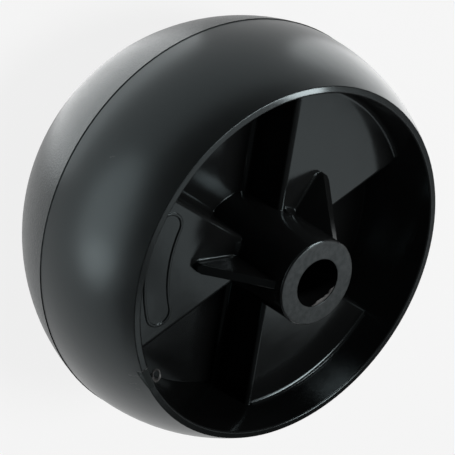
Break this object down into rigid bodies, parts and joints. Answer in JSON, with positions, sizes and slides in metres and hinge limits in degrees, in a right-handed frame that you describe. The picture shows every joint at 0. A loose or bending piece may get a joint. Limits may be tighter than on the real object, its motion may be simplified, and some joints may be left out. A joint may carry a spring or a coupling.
{
  "type": "mower deck wheel",
  "caption": "Crowned black plastic gauge wheel for a mower deck, with a barrel tread, deep wells, a stepped web of raised and low sectors, gusset ribs and a long plain-bored hub.",
  "frame": {"origin": "centre of the wheel, on the axle's line and on the parting plane of the mould", "axes": "+Z along the axle out of the face with the higher sectors and the number plate, +X through the middle of a low sector of that face"},
  "size_m": [0.127, 0.127, 0.0794],
  "materials": {
    "black_plastic": "satin black moulded plastic, a little coarser on the lower half of the tread"
  },
  "bodies": {
    "root": {"wheel": "black_plastic"}
  },
  "joints": []
}
